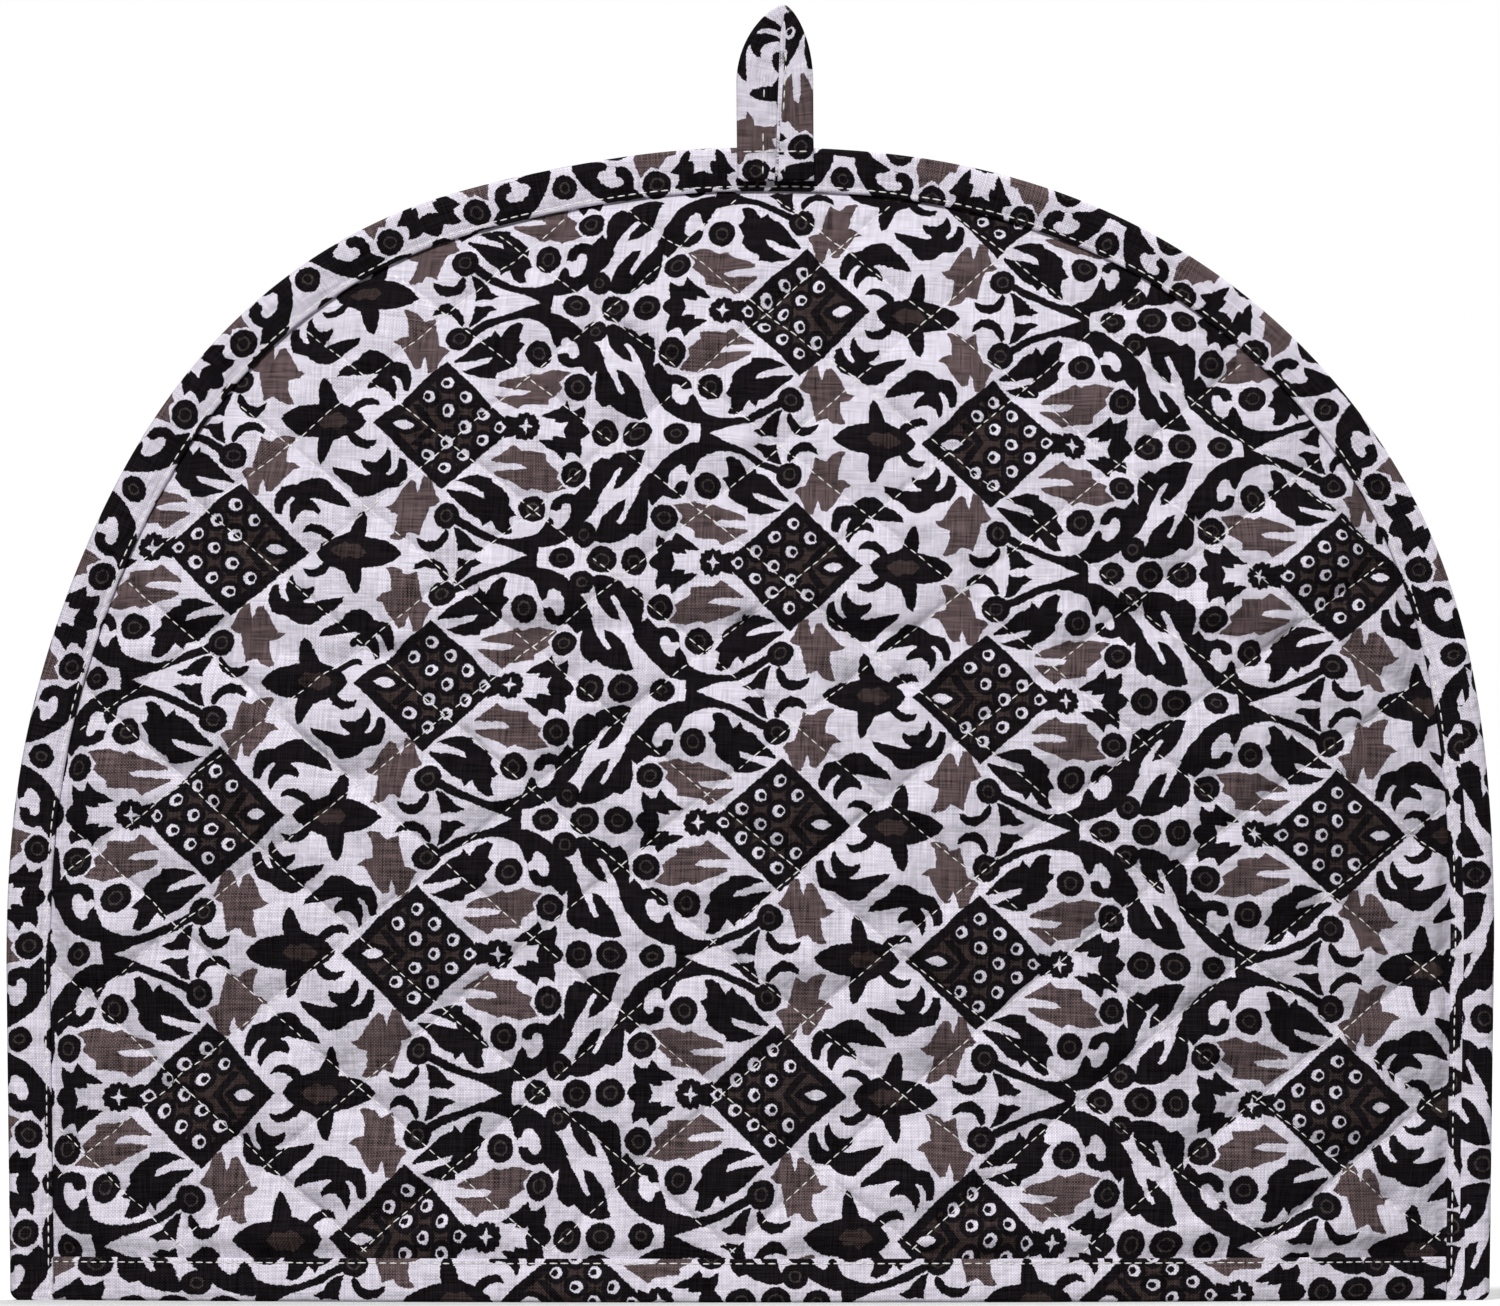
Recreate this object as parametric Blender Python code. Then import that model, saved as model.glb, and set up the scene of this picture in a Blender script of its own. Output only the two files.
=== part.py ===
"""Quilted tea cosy that stands open on its hem.

Two quilted half-dome panels are bound together round their curved edge. Each panel has a hem binding
along its lower edge, and a folded hanging loop is sewn on the front of the binding at the top. Metres,
+Z up, the front faces -Y, and the origin is on the floor under the middle of the cosy.
"""

import math

import bmesh
import bpy
from mathutils import Matrix, Vector

MM = 0.001

# Outline of the cosy seen from the front: a superellipse above DOME_BASE, nearly straight sides below it.
HALF_WIDTH = 171 * MM
HEM_HALF_WIDTH = 170 * MM
DOME_TOP = 265 * MM
DOME_BASE = 78 * MM
ROUNDNESS = 2.35

# Depth of the standing form, from the plane of the seam to the middle of one panel.
DEPTH_AT_DOME = 42 * MM
DEPTH_AT_HEM = 46 * MM
BULGE_POWER = 2.2
SEAM_POWER = 1.0

# Quilting: diamond cells between two sets of stitched lines.
CELL_DOWN = Vector((21.4 * MM, -17.1 * MM))
CELL_UP = Vector((19.2 * MM, 16.0 * MM))
CELL_ORIGIN = Vector((46.9 * MM, 162.3 * MM))
CELLS_DOWN = (-8, 8)
CELLS_UP = (-11, 6)
STEPS_PER_CELL = 3
STITCHED_HALF = 0.8 * MM
PUFF = 1.5 * MM
PUFF_POWER = 0.6

# Panels' edges, pressed flat inside the bindings.
PRESSED_HALF = 0.6 * MM
PRESS_FADE = 5 * MM
APART = 0.3 * MM
RIM_JOIN = 2 * MM
RIM_NEAR = 1.5 * MM

# Edge binding: a folded strip round the curved edge.
BINDING_WIDTH = 10.4 * MM
BINDING_WALL = 1.0 * MM
BINDING_ROUNDING = 1.3 * MM
BINDING_STATIONS = 72
OUTLINE_SAMPLES = 400
SPREAD_HEIGHT = 40 * MM

# Hem bindings: a folded strip over each panel's lower edge.
HEM_HEIGHT = 10 * MM
HEM_FOLD = 1.3 * MM
HEM_ROUNDING = 0.4 * MM
HEM_STATIONS = 40

# Storage crease across both panels.
CREASE_HEIGHT = 151 * MM
CREASE_DEPTH = 1.5 * MM
CREASE_SPREAD = 7 * MM

# Unevenness: the dome leans to +X, and its top is a little lower on the -X side.
LEAN = 2.6 * MM
LEAN_HEIGHT = 178 * MM
LEAN_SPREAD = 52 * MM
DIP = 1.6 * MM
DIP_X = -50 * MM
DIP_SPREAD = 30 * MM
DIP_FROM = 200 * MM

# Hanging loop: two legs side by side that meet in a peaked fold.
LOOP_LEFT = -3.0 * MM
LOOP_RIGHT = 14.3 * MM
LOOP_SLIT = 1.0 * MM
LOOP_SLIT_X = 5.8 * MM
LOOP_FOOT = 257.2 * MM
LOOP_SHOULDER = 280 * MM
LOOP_TIP = Vector((7.8 * MM, 297.6 * MM))
LOOP_HALF = 0.8 * MM
LOOP_LEAN = 1.6 * MM
LOOP_ARC_POINTS = 7
LOOP_PEAK = 3 * MM
LOOP_BENDS = (DOME_TOP, LOOP_SHOULDER, LOOP_SHOULDER + 8 * MM)

COTTON = (0.64, 0.61, 0.66)
DARK_COTTON = (0.16, 0.15, 0.16)


def smooth(t):
    """0 below 0, 1 above 1, and an even rise between."""
    t = min(max(t, 0.0), 1.0)
    return t * t * (3 - 2 * t)


def outline_half_width(z, inset=0.0):
    """Half the width of the outline, or of the outline drawn in by inset, at height z."""
    if z < DOME_BASE:
        taper = (HALF_WIDTH - HEM_HALF_WIDTH) * (1 - z / DOME_BASE)
        return HALF_WIDTH - inset - taper
    rise = min((z - DOME_BASE) / (DOME_TOP - DOME_BASE - inset), 1.0)
    return (HALF_WIDTH - inset) * (1 - rise**ROUNDNESS) ** (1 / ROUNDNESS)


def outward(x, z):
    """Direction out of the outline, in the plane of the seam, at a point on or near it."""
    if z < DOME_BASE:
        return Vector((math.copysign(1.0, x), 0.0))
    across = (abs(x) / HALF_WIDTH) ** (ROUNDNESS - 1) / HALF_WIDTH
    height = DOME_TOP - DOME_BASE
    up = ((z - DOME_BASE) / height) ** (ROUNDNESS - 1) / height
    return Vector((math.copysign(across, x), up)).normalized()


def spaced(points, count):
    """count + 1 points an equal way apart along a line through the given ones."""
    lengths = [0.0]
    for before, after in zip(points, points[1:]):
        lengths.append(lengths[-1] + (after - before).length)
    found = []
    at = 0
    for step in range(count + 1):
        wanted = lengths[-1] * step / count
        while at < len(points) - 2 and lengths[at + 1] < wanted:
            at += 1
        share = (wanted - lengths[at]) / (lengths[at + 1] - lengths[at])
        found.append(points[at].lerp(points[at + 1], share))
    return found


def outline_points(count, inset=0.0):
    """Evenly spaced points round the curved edge, from the left end of the hem to the right."""
    line = [Vector((-HEM_HALF_WIDTH, 0.0))]
    for step in range(OUTLINE_SAMPLES + 1):
        angle = math.pi * (1 - step / OUTLINE_SAMPLES)
        side = math.cos(angle)
        x = HALF_WIDTH * math.copysign(abs(side) ** (2 / ROUNDNESS), side)
        z = DOME_BASE + (DOME_TOP - DOME_BASE) * abs(math.sin(angle)) ** (2 / ROUNDNESS)
        line.append(Vector((x, z)))
    line.append(Vector((HEM_HALF_WIDTH, 0.0)))
    return [point - outward(*point) * inset for point in spaced(line, count)]


def seam_share(x, z):
    """0 up the middle of a panel, and 1 on the seam along the binding's inner edge."""
    width = HALF_WIDTH - BINDING_WIDTH
    if z < DOME_BASE:
        return min(abs(x) / outline_half_width(z, BINDING_WIDTH), 1.0)
    rise = (z - DOME_BASE) / (DOME_TOP - DOME_BASE - BINDING_WIDTH)
    return min(((abs(x) / width) ** ROUNDNESS + rise**ROUNDNESS) ** (1 / ROUNDNESS), 1.0)


def seam_offset(z):
    """How far a panel's middle lies from the plane of the seam along the seam: more at the thicker hem."""
    upper = APART / 2 + PRESSED_HALF
    lower = APART + PRESSED_HALF + BINDING_WALL
    return upper + (lower + APART / 2 - upper) * smooth(1 - z / SPREAD_HEIGHT)


def panel_depth(x, z):
    """How far the middle surface of a panel lies from the plane of the seam."""
    flare = max(1 - z / DOME_BASE, 0.0) ** 2
    depth = DEPTH_AT_DOME + (DEPTH_AT_HEM - DEPTH_AT_DOME) * flare
    open_share = (1 - seam_share(x, z) ** BULGE_POWER) ** SEAM_POWER
    crease = CREASE_DEPTH * math.exp(-(((z - CREASE_HEIGHT) / CREASE_SPREAD) ** 2))
    return seam_offset(z) + (depth - crease) * open_share


def panel_normal(x, z):
    """Direction out of the front of the front panel, in (x, y, z)."""
    reach = MM
    slope_x = (panel_depth(x + reach, z) - panel_depth(x - reach, z)) / (2 * reach)
    slope_z = (panel_depth(x, z + reach) - panel_depth(x, z - reach)) / (2 * reach)
    return Vector((-slope_x, -1.0, -slope_z)).normalized()


def cell_position(x, z):
    """The point's place in the quilting, in cells down and cells up."""
    offset = Vector((x, z)) - CELL_ORIGIN
    area = CELL_DOWN.x * CELL_UP.y - CELL_DOWN.y * CELL_UP.x
    down = (offset.x * CELL_UP.y - offset.y * CELL_UP.x) / area
    up = (CELL_DOWN.x * offset.y - CELL_DOWN.y * offset.x) / area
    return down, up


def panel_half_thickness(x, z):
    """Half the cloth's thickness: full between the stitched lines, and pressed flat at the bindings."""
    down, up = cell_position(x, z)
    puff = abs(math.sin(math.pi * down) * math.sin(math.pi * up)) ** PUFF_POWER
    full = STITCHED_HALF + PUFF * puff
    from_seam = (1 - seam_share(x, z)) * (HALF_WIDTH - BINDING_WIDTH)
    from_hem = z - HEM_HEIGHT
    free = smooth(from_seam / PRESS_FADE) * smooth(from_hem / PRESS_FADE)
    return PRESSED_HALF + (full - PRESSED_HALF) * free


def settled(point):
    """The point moved by the cosy's lean and by the dip in its top."""
    lean = LEAN * math.exp(-(((point.z - LEAN_HEIGHT) / LEAN_SPREAD) ** 2))
    across = math.exp(-(((point.x - DIP_X) / DIP_SPREAD) ** 2))
    dip = DIP * across * smooth((point.z - DIP_FROM) / (DOME_TOP - DIP_FROM))
    return Vector((point.x + lean, point.y, point.z - dip))


def principled(name, colour, roughness):
    material = bpy.data.materials.new(name)
    material.use_nodes = True
    shader = material.node_tree.nodes["Principled BSDF"]
    shader.inputs["Base Color"].default_value = (*colour, 1.0)
    shader.inputs["Roughness"].default_value = roughness
    shader.inputs["Metallic"].default_value = 0.0
    return material


def add_object(name, bm, collection, material):
    """Makes an object of a bmesh, with its faces turned out, smooth, and settled."""
    for vertex in bm.verts:
        vertex.co = settled(vertex.co)
    bmesh.ops.recalc_face_normals(bm, faces=bm.faces[:])
    if bm.calc_volume(signed=True) < 0:
        bmesh.ops.reverse_faces(bm, faces=bm.faces[:])
    mesh = bpy.data.meshes.new(name)
    bm.to_mesh(mesh)
    bm.free()
    mesh.shade_smooth()
    mesh.materials.append(material)
    collection.objects.link(bpy.data.objects.new(name, mesh))


def quilting_grid():
    """A flat grid in X and Z whose lines lie along the quilting, a few steps to each cell."""
    bm = bmesh.new()
    down = CELLS_DOWN[1] - CELLS_DOWN[0]
    up = CELLS_UP[1] - CELLS_UP[0]
    bmesh.ops.create_grid(bm, x_segments=down * STEPS_PER_CELL, y_segments=up * STEPS_PER_CELL, size=0.5)
    along = CELL_DOWN * down
    across = CELL_UP * up
    middle = CELL_ORIGIN + CELL_DOWN * sum(CELLS_DOWN) / 2 + CELL_UP * sum(CELLS_UP) / 2
    shear = Matrix(
        (
            (along.x, across.x, 0.0, middle.x),
            (0.0, 0.0, 1.0, 0.0),
            (along.y, across.y, 0.0, middle.y),
            (0.0, 0.0, 0.0, 1.0),
        )
    )
    bm.transform(shear)
    return bm


def cut_to_seam(bm):
    """Cuts the grid to the seam line along the binding and to the top of the hem binding."""
    seam = outline_points(BINDING_STATIONS, BINDING_WIDTH)
    for before, after in zip(seam, seam[1:]):
        if max(before.y, after.y) < HEM_HEIGHT:
            continue
        along = (after - before).normalized()
        bmesh.ops.bisect_plane(
            bm,
            geom=bm.verts[:] + bm.edges[:] + bm.faces[:],
            dist=1e-5,
            plane_co=(before.x, 0.0, before.y),
            plane_no=(-along.y, 0.0, along.x),
            clear_outer=True,
        )
    bmesh.ops.bisect_plane(
        bm,
        geom=bm.verts[:] + bm.edges[:] + bm.faces[:],
        dist=1e-5,
        plane_co=(0.0, 0.0, HEM_HEIGHT + APART),
        plane_no=(0.0, 0.0, -1.0),
        clear_outer=True,
    )


def on_hem_line(place):
    return place.z < HEM_HEIGHT + APART + RIM_NEAR


def on_seam_line(place):
    return (1 - seam_share(place.x, place.z)) * HALF_WIDTH < RIM_NEAR


def tidy_rim(bm):
    """Joins points that lie close together, and puts the rim's points back on the seam and the hem line."""
    bmesh.ops.dissolve_degenerate(bm, edges=bm.edges[:], dist=RIM_JOIN)
    for vertex in bm.verts:
        if not vertex.is_boundary:
            continue
        place = vertex.co
        if on_hem_line(place):
            place.z = HEM_HEIGHT + APART
            if on_seam_line(place):
                place.x = math.copysign(outline_half_width(place.z, BINDING_WIDTH), place.x)
        elif place.z < DOME_BASE:
            place.x = math.copysign(outline_half_width(place.z, BINDING_WIDTH), place.x)
        else:
            share = seam_share(place.x, place.z)
            place.x /= share
            place.z = DOME_BASE + (place.z - DOME_BASE) / share


def extruded_rim(bm, wanted):
    """Extrudes the rim's edges whose two ends are wanted, and gives the new points."""
    rim = [edge for edge in bm.edges if edge.is_boundary and all(wanted(v.co) for v in edge.verts)]
    new = bmesh.ops.extrude_edge_only(bm, edges=rim)["geom"]
    return [item for item in new if isinstance(item, bmesh.types.BMVert)]


def add_pressed_rim(bm):
    """Carries the panel's edge down into the hem binding, then out into the edge binding."""
    for vertex in extruded_rim(bm, on_hem_line):
        vertex.co.z -= HEM_HEIGHT - HEM_FOLD
    for vertex in extruded_rim(bm, on_seam_line):
        direction = outward(vertex.co.x, vertex.co.z) * (BINDING_WIDTH - BINDING_ROUNDING - APART)
        vertex.co.x += direction.x
        vertex.co.z += direction.y


def build_panel(name, side, collection, material):
    """side is -1 for the front panel and 1 for the back one."""
    bm = quilting_grid()
    cut_to_seam(bm)
    tidy_rim(bm)
    add_pressed_rim(bm)
    outer = bm.verts[:]
    made = bmesh.ops.extrude_face_region(bm, geom=bm.faces[:], use_keep_orig=True)["geom"]
    inner = [item for item in made if isinstance(item, bmesh.types.BMVert)]
    for vertices, face in ((outer, 1), (inner, -1)):
        for vertex in vertices:
            x, z = vertex.co.x, vertex.co.z
            middle = Vector((x, -panel_depth(x, z), z))
            point = middle + panel_normal(x, z) * panel_half_thickness(x, z) * face
            vertex.co = Vector((point.x, -side * point.y, point.z))
    add_object(name, bm, collection, material)


def loft(rings):
    """A closed body through rings that have the same number of points."""
    bm = bmesh.new()
    made = [[bm.verts.new(point) for point in ring] for ring in rings]
    for before, after in zip(made, made[1:]):
        for here in range(len(before)):
            there = (here + 1) % len(before)
            bm.faces.new((before[here], before[there], after[there], after[here]))
    bm.faces.new(made[0])
    bm.faces.new(made[-1])
    return bm


def folded_section(lip, inside, outside, fold, rounding):
    """A folded strip's section as (way in from the fold, way to one side), from one lip round to the other."""
    half = [
        (lip, inside),
        (lip, outside),
        (rounding, outside),
        (0.0, outside - rounding),
    ]
    inner = [(fold, -inside), (fold, inside)]
    other = [(way, -side) for way, side in reversed(half)]
    return half + other + inner


def build_edge_binding(collection, material):
    lip = BINDING_WIDTH - APART
    rings = []
    for point in outline_points(BINDING_STATIONS):
        out = outward(*point)
        inside = seam_offset(point.y) + PRESSED_HALF + APART
        ring = []
        for way, side in folded_section(lip, inside, inside + BINDING_WALL, BINDING_ROUNDING, BINDING_ROUNDING):
            place = point - out * way
            ring.append(Vector((place.x, side, place.y)))
        rings.append(ring)
    add_object("edge_binding", loft(rings), collection, material)


def build_hem_binding(name, side, collection, material):
    """side is -1 for the front panel's hem and 1 for the back one's."""
    end = outline_half_width(0.0, BINDING_WIDTH) - APART
    inside = PRESSED_HALF + APART
    rings = []
    for station in range(HEM_STATIONS + 1):
        x = end * math.sin(math.pi * (station / HEM_STATIONS - 0.5))
        normal = panel_normal(x, HEM_HEIGHT / 2)
        across = Vector((normal.x, normal.y, 0.0)).normalized()
        if station in (0, HEM_STATIONS):
            across = Vector((0.0, -1.0, 0.0))
        ring = []
        for way, offset in folded_section(HEM_HEIGHT, inside, inside + BINDING_WALL, HEM_FOLD, HEM_ROUNDING):
            place = Vector((x, -panel_depth(x, way), 0.0)) + across * offset
            ring.append(Vector((place.x, -side * place.y, way)))
        rings.append(ring)
    add_object(name, loft(rings), collection, material)


def loop_outline():
    """The hanging loop laid flat: a foot, a side, a peaked fold, a side, a foot, and the slit between the legs."""
    rise = LOOP_TIP.y - LOOP_SHOULDER
    quarters = [math.pi / 2 * step / LOOP_ARC_POINTS for step in range(LOOP_ARC_POINTS + 1)]

    def side(edge, angle):
        return LOOP_TIP.x + (edge - LOOP_TIP.x) * math.cos(angle), LOOP_SHOULDER + rise * math.sin(angle)

    left = [(LOOP_LEFT, LOOP_FOOT)] + [side(LOOP_LEFT, angle) for angle in quarters[:-1]]
    right = [side(LOOP_RIGHT, angle) for angle in reversed(quarters)] + [(LOOP_RIGHT, LOOP_FOOT)]
    slit_top = LOOP_TIP.y - LOOP_PEAK
    slit = [
        (LOOP_SLIT_X + LOOP_SLIT / 2, LOOP_FOOT),
        (LOOP_TIP.x, slit_top),
        (LOOP_SLIT_X - LOOP_SLIT / 2, LOOP_FOOT),
    ]
    return left + right + slit


def build_hanging_loop(collection, material):
    curve = bpy.data.curves.new("hanging_loop_outline", "CURVE")
    curve.dimensions = "2D"
    curve.fill_mode = "BOTH"
    curve.extrude = LOOP_HALF
    outline = loop_outline()
    spline = curve.splines.new("POLY")
    spline.points.add(len(outline) - 1)
    for point, (x, z) in zip(spline.points, outline):
        point.co = (x, z, 0.0, 1.0)
    spline.use_cyclic_u = True
    flat = bpy.data.objects.new("hanging_loop_outline", curve)
    collection.objects.link(flat)
    graph = bpy.context.evaluated_depsgraph_get()
    mesh = bpy.data.meshes.new_from_object(flat.evaluated_get(graph))
    bpy.data.objects.remove(flat)
    bm = bmesh.new()
    bm.from_mesh(mesh)
    bmesh.ops.remove_doubles(bm, verts=bm.verts[:], dist=1e-6)
    for height in LOOP_BENDS:
        bmesh.ops.bisect_plane(
            bm,
            geom=bm.verts[:] + bm.edges[:] + bm.faces[:],
            dist=1e-6,
            plane_co=(0.0, height, 0.0),
            plane_no=(0.0, 1.0, 0.0),
        )
    on_binding = seam_offset(DOME_TOP) + PRESSED_HALF + 2 * APART + BINDING_WALL + LOOP_HALF
    for vertex in bm.verts:
        x, height, across = vertex.co
        lean = LOOP_LEAN * smooth((height - DOME_TOP) / (LOOP_TIP.y - DOME_TOP))
        vertex.co = Vector((x, -on_binding + lean + across, height))
    add_object("hanging_loop", bm, collection, material)


def main():
    for obj in list(bpy.data.objects):
        bpy.data.objects.remove(obj)
    collection = bpy.data.collections.new("tea_cosy")
    bpy.context.scene.collection.children.link(collection)
    panel_cotton = principled("quilted_printed_cotton", COTTON, 0.85)
    binding_cotton = principled("binding_cotton", DARK_COTTON, 0.85)
    build_panel("front_panel", -1, collection, panel_cotton)
    build_panel("back_panel", 1, collection, panel_cotton)
    build_edge_binding(collection, binding_cotton)
    build_hem_binding("front_hem_binding", -1, collection, binding_cotton)
    build_hem_binding("back_hem_binding", 1, collection, binding_cotton)
    build_hanging_loop(collection, principled("loop_cotton", COTTON, 0.85))


main()
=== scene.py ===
"""Looks of the quilted tea cosy: printed cotton panels, folded bindings, hanging loop and machine stitching.

Metres, +Z up, the front faces -Y. Every piece of cloth replaces its solid. The print and the weave follow
a UV map named "print", which holds flat places on the cloth, in metres.
"""

import cmath
import math
from functools import partial, reduce

import bmesh
import bpy
import numpy as np
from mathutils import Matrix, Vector, noise

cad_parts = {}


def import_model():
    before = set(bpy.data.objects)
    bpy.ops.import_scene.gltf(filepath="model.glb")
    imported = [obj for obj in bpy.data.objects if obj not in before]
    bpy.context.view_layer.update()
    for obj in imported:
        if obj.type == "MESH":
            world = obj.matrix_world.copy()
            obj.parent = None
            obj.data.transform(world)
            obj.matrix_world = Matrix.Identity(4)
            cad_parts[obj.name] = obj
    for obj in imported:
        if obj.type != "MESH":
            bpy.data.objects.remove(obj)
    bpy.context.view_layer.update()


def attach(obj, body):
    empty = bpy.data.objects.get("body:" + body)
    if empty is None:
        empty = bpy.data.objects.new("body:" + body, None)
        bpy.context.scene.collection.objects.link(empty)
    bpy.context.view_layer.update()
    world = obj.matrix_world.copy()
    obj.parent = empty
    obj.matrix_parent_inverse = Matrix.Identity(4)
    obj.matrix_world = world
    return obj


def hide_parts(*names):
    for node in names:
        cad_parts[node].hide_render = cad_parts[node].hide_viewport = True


MM = 0.001

# Outline and standing form, as in the solids.
HALF_WIDTH = 171 * MM
HEM_HALF_WIDTH = 170 * MM
DOME_TOP = 265 * MM
DOME_BASE = 78 * MM
ROUNDNESS = 2.35
DEPTH_AT_DOME = 42 * MM
DEPTH_AT_HEM = 46 * MM
BULGE_POWER = 2.2
APART = 0.3 * MM
PRESSED_HALF = 0.6 * MM
PRESS_FADE = 5 * MM
SPREAD_HEIGHT = 40 * MM
BINDING_WIDTH = 10.4 * MM
BINDING_WALL = 1.0 * MM
HEM_HEIGHT = 10 * MM
DIP_FROM = 200 * MM
# Each with its size, its middle and its spread.
CREASE = (1.5 * MM, 151 * MM, 7 * MM)
LEAN = (2.6 * MM, 178 * MM, 52 * MM)
DIP = (1.6 * MM, -50 * MM, 30 * MM)

# Quilting: how many stitched lines of each set lie before a place. The terms are those of quilt_terms.
LINES_DOWN = (-0.150, 2.392, -2.899, -0.053, 0.122, -0.130, -0.002, -0.105, 0.134, 0.0)
LINES_UP = (-2.292, 2.599, 3.206, 0.029, 0.165, 0.129, 0.024, 0.020, -0.031, 0.002)
QUILT_UNIT = 100 * MM
QUILT_MIDDLE = 130 * MM
CELLS_DOWN = (-7, 8)
CELLS_UP = (-11, 5)
CELL_WIDTH = 25 * MM
STEPS_PER_CELL = 18
CLOSER_AT_LINES = 0.45
STITCHED_HALF = 0.8 * MM
PUFF = 2.8 * MM
PUFF_POWER = 0.52
PUFF_UNEVEN = 0.35
PUCKER = 0.55 * MM
PUCKER_PITCH = 5 * MM
LINE_APART = 7.3
PUCKER_REACH = 3 * MM
WRINKLE = 1.1 * MM
WRINKLE_PITCH = 19 * MM
RUMPLE = 1.5 * MM
RUMPLE_PITCH = 9 * MM
THINNEST_HALF = 0.4 * MM
FOLD_SPREAD = 2.4 * MM
# Soft folds across the middle, in mm: x of the middle, height, half the length and depth. Then the slant.
FOLDS = (
    (-133, 153.5, 26, 1.6, 0.0), (-84, 147, 26, 2.3, -0.05), (-33, 153.5, 22, 1.8, -0.03),
    (10, 154.5, 30, 2.1, -0.06), (33, 142, 36, 1.8, -0.02), (88, 156, 22, 1.8, -0.24),
)
RIM_STATIONS = 72
TUCKED = 6 * MM
CUT_REACH = 1e-5
THINNEST_FACE = 0.2 * MM

# Machine stitching.
STITCH_PITCH = 2.5 * MM
STITCH_LENGTH = 1.9 * MM
THREAD_HALF = 0.2 * MM
THREAD_PROUD = 0.06 * MM
TOPSTITCH_IN = 1.3 * MM
QUILTING_STEP = 0.04
SEWN_SHARE = 0.993

# Cloth of the bindings and the loop.
CLOTH = 0.35 * MM
TURNED_IN = 3 * MM
BINDING_STATIONS = 320
HEM_STATIONS = 150
COLUMNS = 39
BINDING_FOLD = 1.6 * MM
HEM_FOLD = 0.8 * MM
STITCHED_COLUMN = 8
CORNER = 2.8 * MM
CORNER_STATIONS = 8
GATHER = 0.12
GATHER_PITCH = 9 * MM
OUTLINE_SAMPLES = 600

# Where the print falls on the bindings, in mm: along the strip, then across and up the print.
BINDING_PRINT = (
    (0, -24.6, -24.9), (74, -24.2, 43.7), (99, -22.8, 66.9), (190, -23.0, 151.2),
    (224, -24.2, 182.7), (299, -23.6, 252.1), (349, -21.5, 298.7), (400, -20.2, 346.4),
    (500, -20.2, 440.0), (549, -23.4, 485.8), (588, -23.6, 522.1), (624, -23.7, 555.3),
    (649, -25.2, 578.3), (674, -26.0, 601.3), (760, -27.4, 680.4),
)
BINDING_JOIN = 588 * MM
BINDING_JOIN_SHIFT = (-7.8 * MM, 13.3 * MM)
JOIN_SLOPE = 0.5
HEM_PRINT = (
    (-162, 108.0, 0.9), (-151.3, 99.6, 0.9), (-125.5, 79.2, 0.3), (-110, 67.0, -0.4), (-95, 52.2, -0.9),
    (-70, 29.0, -1.4), (10, -49.0, -1.4), (50, -87.8, -1.4), (90, -127.6, -1.8), (130, -165.6, -3.4),
    (162, -196.3, -4.3),
)

# Hanging loop.
LOOP_LEFT = -3.0 * MM
LOOP_RIGHT = 14.3 * MM
LOOP_SLIT = 1.2 * MM
LOOP_SLIT_X = 5.8 * MM
LOOP_FOOT = 257.2 * MM
LOOP_SHOULDER = 280 * MM
LOOP_TIP = Vector((7.8 * MM, 297.6 * MM))
LOOP_PEAK = 3 * MM
LOOP_HALF = 0.8 * MM
LOOP_LEAN = 1.6 * MM
LOOP_ROWS = 40
LOOP_COLUMNS = 33
LOOP_POINTED = 1.37
LOOP_FOLD_HIDDEN = 0.6 * MM
LOOP_FOLD_CROWN = 0.15 * MM
LOOP_PRINT = (-39.2 * MM, 50.4 * MM)
LOOP_PRINT_UP = 13.3 * MM
LOOP_SEAM_POINTS = 30
# The loop's seams, in mm: x at both ends, and the heights of both. The last is the bar across its feet.
LOOP_SEAMS = (
    (2.7, 2.9, 258.5, 268.5), (3.1, 3.3, 276.0, 281.5), (7.6, 7.9, 258.5, 262.0), (7.6, 8.3, 273.0, 287.0),
    (-2.0, 13.3, 264.0, 264.0),
)

# Colours, as linear light, and the finish of the cloth.
GROUND = (0.775, 0.733, 0.83)
BROWN_INK = (0.122, 0.086, 0.088)
BLACK_INK = (0.0105, 0.0084, 0.0102)
DARK_BROWN_INK = (0.046, 0.032, 0.031)
RING_INK = (0.055, 0.044, 0.044)
THREAD_COLOUR = (0.9, 0.885, 0.855)
INK_SPREAD = 0.2
EDGE_CRISPNESS = 7.0
WEAVE_PITCH = 0.35
WEAVE_BUMP = 0.06 * MM
# How far a fleck of a thread stretches against the cloth's two ways, per millimetre.
FLECKS = ((0.12, 2.3, 1.0), (2.3, 0.12, 1.0))
# How strongly the weave's shade shows in the colour: painted shade from the weave's height, with the
# threads' uneven flecks. Inked parts get more of it.
WEAVE_SHADE_AND_FLECKS = 0.6
INK_SHADE_AND_FLECKS = 1.2
CREASES = 1.5 * MM
CREASE_SCALE = 0.13
SHOW_THROUGH = 0.3
STRAND_SCALE = 1500.0

# Light.
SKY_LIGHT = 0.22
KEY = ((0.13, 0.7, -0.62), 2.6, 12.0)
BACK_LIGHT = ((-0.4, -0.7, -0.8), 2.2, 60.0)

# Camera: straight on to the front from far away.
VIEW_WIDTH = 344.8 * MM
VIEW_HEIGHT = 148.7 * MM
CAMERA_AWAY = 12.0
SENSOR = 36.0
FLOOR_HALF = 15.0

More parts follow.
